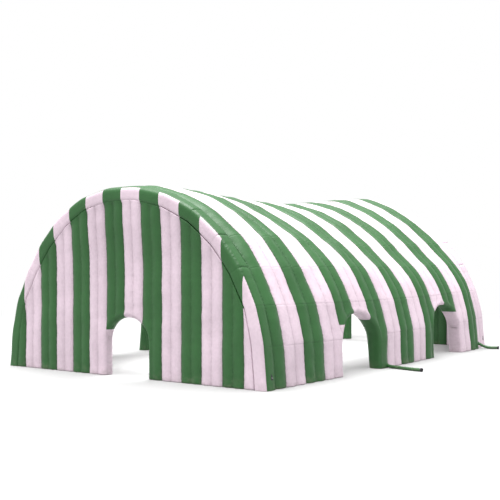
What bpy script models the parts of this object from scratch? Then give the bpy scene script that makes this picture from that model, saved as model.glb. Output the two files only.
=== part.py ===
"""Inflatable tunnel tent: arched air-cell bands between two striped gable walls.

Metres, +Z up. The origin is on the ground at the middle of the footprint, the tunnel runs
along Y, and the front gable faces -Y. Every air cell is a hollow fabric shell: its skins are
drawn SKIN thick, and round ports through the webs let air pass from each cell to the next.
Each shell is an outer solid with a smaller air space and the doorways taken out of it. The
tubes' lobes are drawn on the weather side, and the skin that faces the room is drawn flat.
"""
import math

import bmesh
import bpy
import numpy as np
from mathutils import Matrix, Vector

# ---- overall shape
WIDTH = 12.0
LENGTH = 18.0
ARCH_HEIGHT = 6.82       # the height that the walls and shoulders lead up to, at the gables
ARCH_SAG = 0.050         # share of that height that is lost half way along
ARCH_X_POWER = 1.14      # x = WIDTH/2 cos(t)^p, z = ARCH_HEIGHT sin(t)^q
ARCH_Z_POWER = 0.91
ARCH_SEGMENTS = 12
# The crown itself dips and rises along the tunnel: its height half way, and what v, v^2 and v^4
# add to it, where v is -1 at the front and 1 at the rear.
CROWN_LINE = (6.46, 0.243, 1.157, -0.787)
CROWN_POWER = 10         # how closely that is kept to the middle of the roof

# ---- air cells
SKIN = 0.012
WALL = 0.45              # across a cell, from crest to crest
CREST_DROP = 0.08        # how far the outer seams lie below the crests of the tubes
BAND_COUNT = 16
BAND = LENGTH / BAND_COUNT
TUBE = BAND / 2
GAP = 0.001              # between neighbouring cells
PORT_RADIUS = 0.08
BAND_PORT = (2.9, 5.22)  # height and distance from the middle of the line of band ports
GABLE_PORT_HEIGHT = 2.45
WEDGE_PORT_HEIGHT = 0.9

# ---- gables
STRIPE_COUNT = 14
STRIPE = 0.8465          # the outermost stripes are wider, and run on under the arch tube
GABLE_SET_BACK = 0.03    # the wall's crests lie this far behind the arch tube's face
ARCH_TUBE_DEPTH = 0.50
ARCH_TUBE_GAP = 0.006    # between the arch tube and the ends of the gable stripes

# ---- doorways: (low edge, high edge, height of the straight sides, height of the crown)
GABLE_DOORWAY = (-STRIPE, 1.3 * STRIPE, 1.20, 2.06)
SIDE_DOORWAYS = (
    (-LENGTH / 2 + 4 * BAND, -LENGTH / 2 + 6.4 * BAND, 1.00, 2.12),
    (-LENGTH / 2 + 10.65 * BAND, -LENGTH / 2 + 13 * BAND, 1.00, 2.12),
)
DOORWAY_SEGMENTS = 10

# ---- inflation sleeves: points down the middle, from the wall to the free end
SLEEVE_RADIUS = 0.0575
SLEEVES = (
    ((6.004, -1.300, 0.085), (6.10, -1.318, 0.083), (6.24, -1.345, 0.074),
     (6.40, -1.380, 0.064), (6.65, -1.440, 0.0585), (6.90, -1.510, 0.0585),
     (7.15, -1.575, 0.0585), (7.42, -1.640, 0.061), (7.66, -1.685, 0.067)),
    ((6.004, 7.720, 0.240), (6.07, 7.728, 0.238), (6.15, 7.740, 0.222),
     (6.27, 7.765, 0.165), (6.39, 7.795, 0.106), (6.51, 7.825, 0.072),
     (6.64, 7.862, 0.0600), (6.79, 7.905, 0.0605), (6.94, 7.948, 0.067)),
)
CUFF_LENGTH = 0.075
CUFF_RADIUS = 0.066

# ---- ground anchors and the air release zip
ANCHOR_HEIGHT = 0.42
ANCHOR_PAD = (0.004, 0.11, 0.20)
ANCHOR_LOOP = (0.022, 0.034, 0.030)
RING_BAR = 0.0040
RING_HALF_WIDTH = 0.028
RING_DROP = 0.046
ZIP_START = 0.30
ZIP_LENGTH = 1.00
ZIP_TAPE = (0.004, 0.060)
SLIDER = (0.010, 0.020, 0.034)

# ---- colours
GREEN = (0.055, 0.200, 0.075, 1.0)
WHITE = (0.800, 0.740, 0.780, 1.0)
BLACK = (0.020, 0.020, 0.022, 1.0)
STEEL = (0.560, 0.570, 0.580, 1.0)


def clear_scene():
    for item in list(bpy.data.objects):
        bpy.data.objects.remove(item, do_unlink=True)


def principled(name, colour, roughness, metallic=0.0):
    material = bpy.data.materials.new(name)
    material.use_nodes = True
    shader = material.node_tree.nodes["Principled BSDF"]
    shader.inputs["Base Color"].default_value = colour
    shader.inputs["Roughness"].default_value = roughness
    shader.inputs["Metallic"].default_value = metallic
    material.diffuse_color = colour
    return material


def add_object(name, mesh, material=None, cutter=False, parent=None):
    item = bpy.data.objects.new(name, mesh)
    bpy.context.scene.collection.objects.link(item)
    if parent:
        item.parent = parent
    if cutter:
        item.hide_render = True
        item.display_type = "WIRE"
    elif material and not mesh.materials:
        mesh.materials.append(material)
    return item


def boolean(item, other, operation="DIFFERENCE"):
    modifier = item.modifiers.new(operation.title(), "BOOLEAN")
    modifier.operation = operation
    modifier.solver = "EXACT"
    modifier.object = other


def loft(name, rings, closed=False):
    """A closed mesh through rings of points: capped at both ends, or joined end to end."""
    bm = bmesh.new()
    made = [[bm.verts.new(p) for p in ring] for ring in rings]
    pairs = list(zip(made, made[1:]))
    if closed:
        pairs.append((made[-1], made[0]))
    for low, high in pairs:
        for i in range(len(low)):
            j = (i + 1) % len(low)
            bm.faces.new((low[i], low[j], high[j], high[i]))
    if not closed:
        bm.faces.new(made[0])
        bm.faces.new(made[-1])
    bmesh.ops.recalc_face_normals(bm, faces=bm.faces)
    bmesh.ops.triangulate(bm, faces=bm.faces)
    mesh = bpy.data.meshes.new(name)
    bm.to_mesh(mesh)
    bm.free()
    return mesh


def inset(loop, distance):
    """The same closed loop of 2-D points moved inwards, with its corners mitred."""
    points = np.array(loop, float)
    turn = points[:, 0] * np.roll(points[:, 1], -1) - points[:, 1] * np.roll(points[:, 0], -1)
    side = 1.0 if turn.sum() > 0 else -1.0
    ahead = np.roll(points, -1, axis=0) - points
    ahead /= np.linalg.norm(ahead, axis=1)[:, None]
    normal = side * np.stack([-ahead[:, 1], ahead[:, 0]], axis=1)
    before = np.roll(normal, 1, axis=0)
    mitre = normal + before
    mitre /= (mitre * normal).sum(axis=1)[:, None]
    return [tuple(p) for p in points + distance * mitre]


# ---- the arch
def plain_arch(t, height):
    """(x, z) of an arch of that height at parameter t, 0 at the right foot and pi at the left."""
    c, s = math.cos(t), math.sin(t)
    x = math.copysign(WIDTH / 2 * abs(c) ** ARCH_X_POWER, c)
    return np.array((x, height * max(s, 0.0) ** ARCH_Z_POWER))


def arch_curve(t, y):
    """(x, z) of the outer crest line at parameter t."""
    v = y / (LENGTH / 2)
    height = ARCH_HEIGHT * (1 - ARCH_SAG * (1 - v * v))
    middle, slope, bend, droop = CROWN_LINE
    crown = middle + slope * v + bend * v ** 2 + droop * v ** 4
    x, z = plain_arch(t, height)
    return np.array((x, z + (crown - height) * max(math.sin(t), 0.0) ** CROWN_POWER))


def arch_point(t, y, depth):
    """The point that far inside the crest line, square to it."""
    x, z = arch_curve(t, y)
    if t < 1e-6 or t > math.pi - 1e-6:
        return x - math.copysign(depth, x), y, 0.0
    step = min(1e-3, t / 2, (math.pi - t) / 2)
    ahead = arch_curve(t + step, y) - arch_curve(t - step, y)
    ahead /= np.linalg.norm(ahead)
    return x - ahead[1] * depth, y, z + ahead[0] * depth


def arch_stations():
    """Values of t that divide the arch into pieces of equal length."""
    fine = np.linspace(0, math.pi, 4001)
    line = np.array([plain_arch(t, ARCH_HEIGHT) for t in fine])
    far = np.concatenate([[0], np.cumsum(np.linalg.norm(np.diff(line, axis=0), axis=1))])
    half = np.interp(np.linspace(0, far[-1] / 2, ARCH_SEGMENTS // 2 + 1), far, fine)
    half[0], half[-1] = 0.0, math.pi / 2
    return list(half) + [math.pi - t for t in half[-2::-1]]


STATIONS = arch_stations()


def arch_body(name, section, floor=0.0):
    """A section of (y, depth) points carried over the arch, with flat feet."""
    rings = []
    for t in STATIONS:
        ring = [arch_point(t, y, depth) for y, depth in section]
        if t in (STATIONS[0], STATIONS[-1]):
            ring = [(x, y, floor) for x, y, _ in ring]
        rings.append(ring)
    return loft(name, rings)


def tube_section(start, stop, tubes, front, back):
    """Outline across a row of tubes: flat-topped lobes in front and a flat back."""
    width = (stop - start) / tubes
    outline = [(start, front + CREST_DROP)]
    for i in range(tubes):
        edge = start + i * width
        outline += [(edge + 0.28 * width, front), (edge + 0.72 * width, front)]
        outline.append((edge + width, front + CREST_DROP))
    outline += [(stop, back), (start, back)]
    return outline


# ---- doorways
def doorway_outline(doorway, grow=0.0):
    """(across, height) points of an arched doorway that runs below the ground."""
    low, high, straight, crown = doorway
    middle, half = (low + high) / 2, (high - low) / 2 + grow
    outline = [(middle + half, -0.2), (middle + half, straight)]
    for i in range(1, DOORWAY_SEGMENTS):
        angle = math.pi * i / DOORWAY_SEGMENTS
        rise = (crown - straight + grow) * math.sin(angle)
        outline.append((middle + half * math.cos(angle), straight + rise))
    outline += [(middle - half, straight), (middle - half, -0.2)]
    return outline


def side_cutter(name, doorway, grow=0.0):
    outline = doorway_outline(doorway, grow)
    rings = [[(x, y, z) for y, z in outline] for x in (-WIDTH, WIDTH)]
    return add_object(name, loft(name, rings), cutter=True)


def gable_cutter(name, grow=0.0):
    outline = doorway_outline(GABLE_DOORWAY, grow)
    rings = [[(x, y, z) for x, z in outline] for y in (-LENGTH / 2 - 1, -LENGTH / 2 + 1)]
    return loft(name, rings)


def gable_bound(name, end, shrink=0.0):
    """The space under the arch tube, which the gable stripes end against.

    It is drawn at the front. With end = -1 it has the heights of the rear arch tube.
    """
    depth = ARCH_TUBE_DEPTH + ARCH_TUBE_GAP + shrink
    rings = []
    for y in (-LENGTH / 2 - 0.2, -LENGTH / 2 + 0.7):
        ring = [arch_point(t, end * y, depth) for t in STATIONS]
        ring = [(x, y, z) for x, _, z in ring]
        low = -0.5 if shrink == 0 else shrink
        ring[0] = (ring[0][0], y, low)
        ring[-1] = (ring[-1][0], y, low)
        rings.append(ring)
    return loft(name, rings)


def port(name, start, stop):
    """A six-sided cutter of PORT_RADIUS between two points."""
    start, stop = Vector(start), Vector(stop)
    turn = (stop - start).to_track_quat("Z", "Y")
    rings = []
    for end in (start, stop):
        ring = []
        for i in range(6):
            angle = math.pi * (i + 0.5) / 3
            flat = Vector((math.cos(angle), math.sin(angle), 0)) * PORT_RADIUS
            ring.append(end + turn @ flat)
        rings.append(ring)
    return loft(name, rings)


# ---- hoses and hardware
def ring_round(centre, ahead, radius, sides):
    turn = Vector(ahead).to_track_quat("Z", "Y")
    angles = [2 * math.pi * i / sides for i in range(sides)]
    return [
        Vector(centre) + turn @ Vector((radius * math.cos(a), radius * math.sin(a), 0))
        for a in angles
    ]


def directions(path):
    points = [Vector(p) for p in path]
    last = len(points) - 1
    return [(points[min(i + 1, last)] - points[max(i - 1, 0)]).normalized()
            for i in range(len(points))]


def sleeve_mesh(name, path):
    ahead = directions(path)
    ahead[0] = Vector((1, 0, 0))
    return loft(name, [ring_round(p, a, SLEEVE_RADIUS, 12) for p, a in zip(path, ahead)])


def cuff_mesh(name, path):
    """A stiff hem ring with a recessed end, just past the end of the sleeve."""
    ahead = directions(path)[-1]
    start = Vector(path[-1]) + ahead * 0.0006
    steps = ((0.0, 0.92), (0.008, 1.0), (0.060, 1.0), (CUFF_LENGTH, 0.94),
             (CUFF_LENGTH, 0.74), (0.030, 0.70))
    return loft(name, [ring_round(start + ahead * far, ahead, CUFF_RADIUS * size, 12)
                       for far, size in steps])


def block(name, size, centre):
    """A box with its edges taken off."""
    bm = bmesh.new()
    bmesh.ops.create_cube(bm, size=1.0)
    for vertex in bm.verts:
        vertex.co = Vector(c + s * v for c, s, v in zip(centre, size, vertex.co))
    edge = 0.2 * min(size)
    bmesh.ops.bevel(bm, geom=bm.edges, offset=edge, segments=1, affect="EDGES")
    mesh = bpy.data.meshes.new(name)
    bm.to_mesh(mesh)
    bm.free()
    return mesh


def facet_frame(side, y, height):
    """World matrix on the lowest outer facet: X out of the wall, Z up along it."""
    foot = Vector(arch_point(STATIONS[0], y, 0.0))
    top = Vector(arch_point(STATIONS[1], y, 0.0))
    up = (top - foot).normalized()
    out = Vector((up.z, 0, -up.x))
    place = foot + up * height
    frame = Matrix((out, Vector((0, 1, 0)), up)).transposed().to_4x4()
    frame.translation = place
    if side < 0:
        # The left wall is the right wall's frame turned half round about the upright at y.
        turn = Matrix.Rotation(math.pi, 4, "Z")
        frame = Matrix.Translation((0, 2 * y, 0)) @ turn @ frame
    return frame


def ring_mesh(name):
    """A D-ring: straight bar along Y at the origin, bow hanging down."""
    path = [(0, RING_HALF_WIDTH, 0), (0, 0, 0), (0, -RING_HALF_WIDTH, 0)]
    path.append((0, -RING_HALF_WIDTH, -0.018))
    for i in range(1, 6):
        angle = math.pi * i / 6
        path.append((0, -RING_HALF_WIDTH * math.cos(angle),
                     -0.018 - (RING_DROP - 0.018) * math.sin(angle)))
    path.append((0, RING_HALF_WIDTH, -0.018))
    count = len(path)
    rings = []
    for i in range(count):
        ahead = Vector(path[(i + 1) % count]) - Vector(path[i])
        behind = Vector(path[i]) - Vector(path[i - 1])
        middle = (ahead.normalized() + behind.normalized()).normalized()
        across = Vector((1, 0, 0))
        side = middle.cross(across)
        grow = 1.0 / max(0.5, middle.dot(ahead.normalized()))
        ring = []
        for k in range(8):
            angle = math.pi * (k + 0.5) / 4
            ring.append(Vector(path[i]) + across * RING_BAR * math.cos(angle)
                        + side * RING_BAR * grow * math.sin(angle))
        rings.append(ring)
    return loft(name, rings, closed=True)


def build_bands(green, white):
    doors = []
    for k, doorway in enumerate(SIDE_DOORWAYS, 1):
        opening = side_cutter(f"side_doorway_{k}", doorway)
        room = side_cutter(f"side_doorway_{k}_room", doorway, grow=SKIN)
        doors.append((doorway, opening, room))
    height, out = BAND_PORT
    reach = LENGTH / 2 - TUBE / 2
    line = port("band_port", (out, -reach, height), (out, reach, height))
    hole = add_object("band_port", line, cutter=True)
    for k in range(1, BAND_COUNT + 1):
        start = -LENGTH / 2 + (k - 1) * BAND
        stop = start + BAND
        tubes = 2
        if k == 1:
            start, tubes = start + TUBE, 1
        if k == BAND_COUNT:
            stop, tubes = stop - TUBE, 1
        section = tube_section(start + GAP / 2, stop - GAP / 2, tubes, 0.0, WALL)
        name = f"band_{k:02d}"
        band = add_object(name, arch_body(name, section), green if k % 2 else white)
        air = add_object(f"{name}_air", arch_body(f"{name}_air", inset(section, SKIN), SKIN),
                         cutter=True)
        for doorway, opening, room in doors:
            if doorway[0] < stop - GAP and doorway[1] > start + GAP:
                boolean(band, opening)
                boolean(air, room)
        boolean(band, air)
        boolean(band, hole)
    return hole


def build_arch_tubes(green, white, hole):
    low, high = -LENGTH / 2, -LENGTH / 2 + TUBE - GAP / 2
    section = [
        (high, CREST_DROP), (high - 0.16, 0.0), (low + 0.17, 0.0), (low, 0.16), (low, 0.34),
        (low + 0.17, ARCH_TUBE_DEPTH), (high - 0.10, ARCH_TUBE_DEPTH), (high, 0.40),
    ]
    back = [(-y, depth) for y, depth in section]
    for name, outline, material in (("front_arch_tube", section, green),
                                    ("rear_arch_tube", back, white)):
        tube = add_object(name, arch_body(name, outline), material)
        air = add_object(f"{name}_air", arch_body(f"{name}_air", inset(outline, SKIN), SKIN),
                         cutter=True)
        boolean(tube, air)
        boolean(tube, hole)


def stripe_edges(k):
    low = (k - 1 - STRIPE_COUNT / 2) * STRIPE
    return (low if k > 1 else -WIDTH / 2), (low + STRIPE if k < STRIPE_COUNT else WIDTH / 2)


def stripe_body(name, k, shrink=0.0):
    """One gable stripe, upright, tall enough to be cut off by the arch."""
    low, high = stripe_edges(k)
    front = -LENGTH / 2 + GABLE_SET_BACK
    outline = tube_section(low + GAP / 2, high - GAP / 2, 2, front, front + WALL)
    if shrink:
        outline = inset(outline, shrink)
    rings = [[(x, y, z) for x, y in outline] for z in (shrink, ARCH_HEIGHT + 0.5)]
    return loft(name, rings)


def build_gables(green, white):
    doorway = gable_cutter("gable_doorway")
    room = gable_cutter("gable_doorway_room", SKIN)
    middle = -LENGTH / 2 + GABLE_SET_BACK + WALL / 2
    edge = (STRIPE_COUNT / 2 - 1.5) * STRIPE
    holes = [port("gable_port", (-edge, middle, GABLE_PORT_HEIGHT),
                  (edge, middle, GABLE_PORT_HEIGHT))]
    for side in (-1, 1):
        holes.append(port("wedge_port", (side * (edge + 0.60), middle, WEDGE_PORT_HEIGHT),
                          (side * (edge + 0.10), middle, WEDGE_PORT_HEIGHT)))
    stripes = [stripe_body(f"stripe_{k:02d}", k) for k in range(1, STRIPE_COUNT + 1)]
    spaces = [stripe_body(f"stripe_{k:02d}_air", k, SKIN) for k in range(1, STRIPE_COUNT + 1)]
    # The rear gable is the front gable turned half round, under the rear arch tube.
    for end, angle, turn in (("front", 0.0, 1), ("rear", math.pi, -1)):
        bound = gable_bound(f"{end}_gable_bound", turn)
        bound_air = gable_bound(f"{end}_gable_bound_air", turn, SKIN)
        hub = bpy.data.objects.new(f"{end}_gable_hub", None)
        bpy.context.scene.collection.objects.link(hub)
        hub.rotation_euler = (0, 0, angle)

        def helper(name, mesh):
            return add_object(f"{end}_{name}", mesh, cutter=True, parent=hub)

        cut_bound = helper("bound", bound)
        cut_bound_air = helper("bound_air", bound_air)
        cut_doorway = helper("doorway", doorway)
        cut_room = helper("doorway_room", room)
        cut_holes = [helper(f"port_{i}", mesh) for i, mesh in enumerate(holes)]
        for k in range(1, STRIPE_COUNT + 1):
            name = f"{end}_gable_{k:02d}"
            stripe = add_object(name, stripes[k - 1], green if k % 2 else white, parent=hub)
            air = helper(f"gable_{k:02d}_air", spaces[k - 1])
            boolean(stripe, cut_bound, "INTERSECT")
            boolean(air, cut_bound_air, "INTERSECT")
            low, high = stripe_edges(k)
            if GABLE_DOORWAY[0] < high - GAP and GABLE_DOORWAY[1] > low + GAP:
                boolean(stripe, cut_doorway)
                boolean(air, cut_room)
            boolean(stripe, air)
            if 2 <= k <= STRIPE_COUNT - 1:
                boolean(stripe, cut_holes[0])
            if k <= 2:
                boolean(stripe, cut_holes[1])
            if k >= STRIPE_COUNT - 1:
                boolean(stripe, cut_holes[2])


def build_sleeves(green, black):
    for k, path in enumerate(SLEEVES, 1):
        add_object(f"sleeve_{k}", sleeve_mesh(f"sleeve_{k}", path), green)
        add_object(f"sleeve_cuff_{k}", cuff_mesh(f"sleeve_cuff_{k}", path), black)


def build_anchors(black, steel):
    """Four webbing pads near the corners, each with a D-ring that swings in its loop."""
    y = LENGTH / 2 - 0.285
    reach = 0.5 * ANCHOR_LOOP[0] + ANCHOR_PAD[0]
    pad = block("anchor_pad", ANCHOR_PAD, (ANCHOR_PAD[0] / 2 + GAP, 0, 0))
    loop = block("anchor_loop", ANCHOR_LOOP, (ANCHOR_LOOP[0] / 2 + 0.002, 0, 0))
    bore = loft("anchor_bore", [ring_round((reach, side, 0), (0, 1, 0), RING_BAR * 1.25, 12)
                                for side in (-0.03, 0.03)])
    bow = ring_mesh("anchor_ring")
    corners = (("front_right", 1, -y), ("front_left", -1, -y),
               ("rear_right", 1, y), ("rear_left", -1, y))
    for name, side, at in corners:
        frame = facet_frame(side, at, ANCHOR_HEIGHT)
        patch = add_object(f"anchor_patch_{name}", pad.copy(), black)
        helper = add_object(f"anchor_loop_{name}", loop, cutter=True)
        hole = add_object(f"anchor_bore_{name}", bore, cutter=True)
        boolean(patch, helper, "UNION")
        boolean(patch, hole)
        for item in (patch, helper, hole):
            item.matrix_world = frame
        ring = add_object(f"anchor_ring_{name}", bow, steel)
        ring.matrix_world = frame @ Matrix.Translation((reach, 0, 0))


def build_zip(black, steel):
    """A one-metre air release zip on the left wall, with its slider at the lower end."""
    y = -LENGTH / 2 + BAND + TUBE / 2
    frame = facet_frame(-1, y, ZIP_START)
    deep, wide = ZIP_TAPE
    tape = block("release_zip", (deep, wide, ZIP_LENGTH), (deep / 2 + GAP, 0, ZIP_LENGTH / 2))
    item = add_object("release_zip", tape, black)
    item.matrix_world = frame
    body = block("zip_slider", SLIDER, (0, 0, 0))
    pull = block("zip_pull", (0.003, 0.012, 0.045), (0.0052, 0, -0.030))
    slider = add_object("zip_slider", body, steel)
    helper = add_object("zip_pull", pull, cutter=True)
    boolean(slider, helper, "UNION")
    rest = Vector((deep + GAP + 0.0006 + SLIDER[0] / 2, 0, 0.035))
    for part in (slider, helper):
        part.matrix_world = frame @ Matrix.Translation(rest)


def build():
    clear_scene()
    green = principled("green_coated_fabric", GREEN, 0.55)
    white = principled("white_coated_fabric", WHITE, 0.55)
    black = principled("black_webbing", BLACK, 0.80)
    steel = principled("galvanised_steel", STEEL, 0.35, 1.0)
    hole = build_bands(green, white)
    build_arch_tubes(green, white, hole)
    build_gables(green, white)
    build_sleeves(green, black)
    build_anchors(black, steel)
    build_zip(black, steel)
    for item in bpy.data.objects:
        if item.type == "MESH" and item.name.startswith(("sleeve", "anchor_ring")):
            item.data.shade_smooth()
            item.data.set_sharp_from_angle(angle=math.radians(40))


build()
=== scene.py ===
"""Looks of the inflatable tunnel tent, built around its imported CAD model.

Everything is in metres in the row frame: the origin is on the ground in the middle of the
footprint, the tunnel runs along Y and the front gable faces -Y. Each air cell of the CAD gets a
closed inflated skin: round tubes between sewn seams, panels that meet at slight kinks, and
padded edges round the doorways. A skin is described by two numbers along the wall, across and
along its tubes, and a depth below the crests of the tubes.
"""
import math

import bmesh
import bpy
import numpy as np
from mathutils import Matrix, Vector


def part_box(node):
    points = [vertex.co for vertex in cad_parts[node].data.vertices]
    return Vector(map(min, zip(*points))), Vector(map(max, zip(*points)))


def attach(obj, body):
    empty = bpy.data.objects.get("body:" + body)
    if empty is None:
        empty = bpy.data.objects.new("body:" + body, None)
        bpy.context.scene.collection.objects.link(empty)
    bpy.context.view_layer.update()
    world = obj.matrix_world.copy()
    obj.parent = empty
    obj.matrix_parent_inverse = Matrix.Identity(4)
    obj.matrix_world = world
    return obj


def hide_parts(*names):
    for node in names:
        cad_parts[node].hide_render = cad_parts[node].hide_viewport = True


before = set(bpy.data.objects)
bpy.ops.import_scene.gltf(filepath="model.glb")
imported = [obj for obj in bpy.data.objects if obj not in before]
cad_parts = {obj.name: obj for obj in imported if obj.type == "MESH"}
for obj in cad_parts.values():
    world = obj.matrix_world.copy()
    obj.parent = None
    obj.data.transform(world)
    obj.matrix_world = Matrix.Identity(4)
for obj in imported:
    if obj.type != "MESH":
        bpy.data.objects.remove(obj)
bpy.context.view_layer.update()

# ---- the tent's shape, as in the CAD
FRONT = round(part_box("front_arch_tube")[0].y, 4)
REAR = round(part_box("rear_arch_tube")[1].y, 4)
LENGTH = REAR - FRONT
WIDTH = 2 * round(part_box("front_arch_tube")[1].x, 4)
ARCH_HEIGHT = 6.82
ARCH_SAG = 0.050
CROWN_LINE = (6.46, 0.243, 1.157, -0.787)
CROWN_POWER = 10
ARCH_X_POWER = 1.14
ARCH_Z_POWER = 0.91
BAND_COUNT = 16
BAND = LENGTH / BAND_COUNT
TUBE = BAND / 2
STRIPE_COUNT = 14
STRIPE = 0.8465
GAP = 0.0015
WALL = 0.45
ARCH_TUBE_DEPTH = 0.50
CAD_FACETS = 12

# ---- doorways: (low edge, high edge, height of the straight sides, height of the crown)
GABLE_DOOR = (-STRIPE, 1.3 * STRIPE, 1.20, 2.06)
BY_GABLE_DOOR = range(6, 11)     # the stripes that its padded edge shapes
GABLE_LINTEL = 7                 # the green stripe whose foot is white, over the doorway
SIDE_LINTELS = (5, 13)           # and the green bands whose feet are white
SIDE_DOORS = (
    (FRONT + 4 * BAND, FRONT + 6.4 * BAND, 1.00, 2.12),
    (FRONT + 10.65 * BAND, FRONT + 13 * BAND, 1.00, 2.12),
)

# ---- how the inflated fabric lies
COLOUR_SEAM = 0.085      # depth of a seam between two cells
MIDDLE_SEAM = 0.065      # depth of the seam between a cell's own two tubes
GABLE_COLOUR_SEAM = 0.070
GABLE_MIDDLE_SEAM = 0.046
SIDE_SWELL = 0.245       # how far pressure pushes the right-hand wall out past the arch line
SHOULDER_SWELL = 0.080   # how much fuller the front of the right-hand shoulder is
SHOULDER_SLACK = 0.055   # and how much flatter it is behind that
SHOULDER_DENT = 0.10     # how far the front of the left-hand shoulder sinks in
GABLE_SWELL = 0.035      # how far the gables stand out past the faces of the arch tubes
TUBE_SWELL = 0.050       # and the faces of the arch tubes
CROWN_LEAN = 0.13        # and how much further out their tops lean
INNER_SEAM = 0.045
PANELS = 15              # fabric panels along an arch, which meet at kinks
KINK = 0.55              # 0 is a smooth arch, 1 is flat between kinks
STRAIGHT_LEG = 1.20      # how much of the arch stands straight on the CAD's lowest facet
JAMB_ROUND = 0.16        # radius of a doorway's padded edge
JAMB_ROUND_INSIDE = 0.24
JAMB_BULGE = 0.012
EDGE_REACH = 0.03        # what is this near a doorway's outline belongs to its edge
TOP_ROUND = 0.035        # where a gable meets the arch tube
HEM_HEIGHT = 0.17


def smooth(value, start=0.0, reach=1.0):
    """0 up to start, 1 from that far past it, and smooth between."""
    value = np.clip((value - start) / reach, 0.0, 1.0)
    return value * value * (3 - 2 * value)


# ---------------------------------------------------------------- objects and materials
def add_object(name, data, location=(0, 0, 0), rotation=(0, 0, 0)):
    item = bpy.data.objects.new(name, data)
    item.location = location
    item.rotation_euler = rotation
    bpy.context.scene.collection.objects.link(item)
    return item


def add_mesh(name, points, faces, material, smooth_shading=True, fields=()):
    """A new mesh object at the origin, its faces turned outwards."""
    mesh = bpy.data.meshes.new(name)
    mesh.from_pydata([tuple(p) for p in points], [], faces)
    for key, values in dict(fields).items():
        made = mesh.attributes.new(key, "FLOAT", "POINT")
        made.data.foreach_set("value", np.asarray(values, np.float32))
    bm = bmesh.new()
    bm.from_mesh(mesh)
    bmesh.ops.recalc_face_normals(bm, faces=bm.faces)
    bm.to_mesh(mesh)
    bm.free()
    mesh.materials.append(material)
    if smooth_shading:
        mesh.shade_smooth()
    return add_object(name, mesh)


def loft(rings):
    """Faces of a closed skin through rings that all have the same number of points."""
    rows, count = len(rings), len(rings[0])
    index = np.arange(rows * count).reshape(rows, count)
    after = np.roll(index, -1, axis=1)
    faces = np.stack([index[:-1], after[:-1], after[1:], index[1:]], -1).reshape(-1, 4).tolist()
    return np.concatenate(rings), faces + [index[0].tolist(), index[-1].tolist()]


BOX_FACES = ([3, 2, 1, 0], [4, 5, 6, 7], [0, 1, 5, 4], [1, 2, 6, 5], [2, 3, 7, 6], [3, 0, 4, 7])


def add_part(points, faces, part):
    """Adds a part's points and faces to lists that hold others."""
    first = len(points)
    points += [tuple(p) for p in part[0]]
    faces += [[first + i for i in face] for face in part[1]]


def finish_piece(item, body, slot, *nodes):
    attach(item, body)
    if nodes:
        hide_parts(*nodes)
    return item


def finish_cell(item, is_green, node):
    finish_piece(item, "tent", "green_fabric" if is_green else "white_fabric", node)


class Nodes:
    """A short way to write a material's nodes."""

    def __init__(self, name):
        self.material = bpy.data.materials.new(name)
        self.material.use_nodes = True
        self.tree = self.material.node_tree
        self.shader = self.tree.nodes["Principled BSDF"]
        self.place = self.node("TexCoord").outputs["Object"]

    def put(self, value, socket):
        if hasattr(value, "node"):
            self.tree.links.new(value, socket)
        else:
            socket.default_value = value

    def node(self, kind, settings=(), **inputs):
        made = self.tree.nodes.new("ShaderNode" + kind)
        for key, value in dict(settings).items():
            setattr(made, key, value)
        for key, value in inputs.items():
            self.put(value, made.inputs[key.replace("_", " ")])
        return made

    def math(self, operation, *values):
        made = self.node("Math", {"operation": operation})
        for value, socket in zip(values, made.inputs):
            self.put(value, socket)
        return made.outputs[0]

    def product(self, first, *others):
        for value in others:
            first = self.math("MULTIPLY", first, value)
        return first

    def ramp(self, value, low, high, start=0.0, stop=1.0):
        """start below low, stop above high, and smooth between."""
        made = self.node("MapRange", {"interpolation_type": "SMOOTHSTEP"}, Value=value,
                         From_Min=low, From_Max=high, To_Min=start, To_Max=stop)
        return made.outputs["Result"]

    def mix(self, share, a, b, how="MIX"):
        made = self.node("Mix", {"data_type": "RGBA", "blend_type": how}, Factor=share, A=a, B=b)
        return made.outputs["Result"]

    def shaded(self, colour, shade):
        grey = self.node("CombineColor", Red=shade, Green=shade, Blue=shade)
        return self.mix(1.0, colour, grey.outputs[0], "MULTIPLY")

    def attribute(self, name):
        return self.node("Attribute", {"attribute_name": name}).outputs["Fac"]

    def noise(self, scale, detail):
        made = self.node("TexNoise", Vector=self.place, Scale=scale, Detail=detail)
        return made.outputs["Fac"]

    def patches(self, scale, detail, low, high, start, stop):
        return self.ramp(self.noise(scale, detail), low, high, start, stop)

    def cells(self, scale):
        return self.node("TexVoronoi", Vector=self.place, Scale=scale).outputs["Distance"]

    def bump(self, height, strength, distance, below=None):
        made = self.node("Bump", Height=height, Strength=strength, Distance=distance)
        if below is not None:
            self.put(below, made.inputs["Normal"])
        return made.outputs["Normal"]

    def finish(self, colour, roughness, normal):
        for name, value in (("Base Color", colour), ("Roughness", roughness), ("Normal", normal)):
            self.put(value, self.shader.inputs[name])
        return self.material


# ---------------------------------------------------------------- camera, floor and light
CAMERA_PLACE = (21.655, -31.776, 4.032)
CAMERA_TURN = 0.6217
CAMERA_LENS = 65.1
CAMERA_SHIFT = 0.0199


def make_camera():
    data = bpy.data.cameras.new("camera")
    data.sensor_width = 36.0
    data.lens = CAMERA_LENS
    data.shift_y = CAMERA_SHIFT
    data.clip_end = 500.0
    level = (math.pi / 2, 0.0, CAMERA_TURN)
    bpy.context.scene.camera = add_object("camera", data, CAMERA_PLACE, level)


FLOOR_HALF = 220.0
FLOOR_NEAR = 13.0        # the floor starts to brighten this far from the middle
FLOOR_FAR = 34.0         # and is as bright as the background from here


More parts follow.
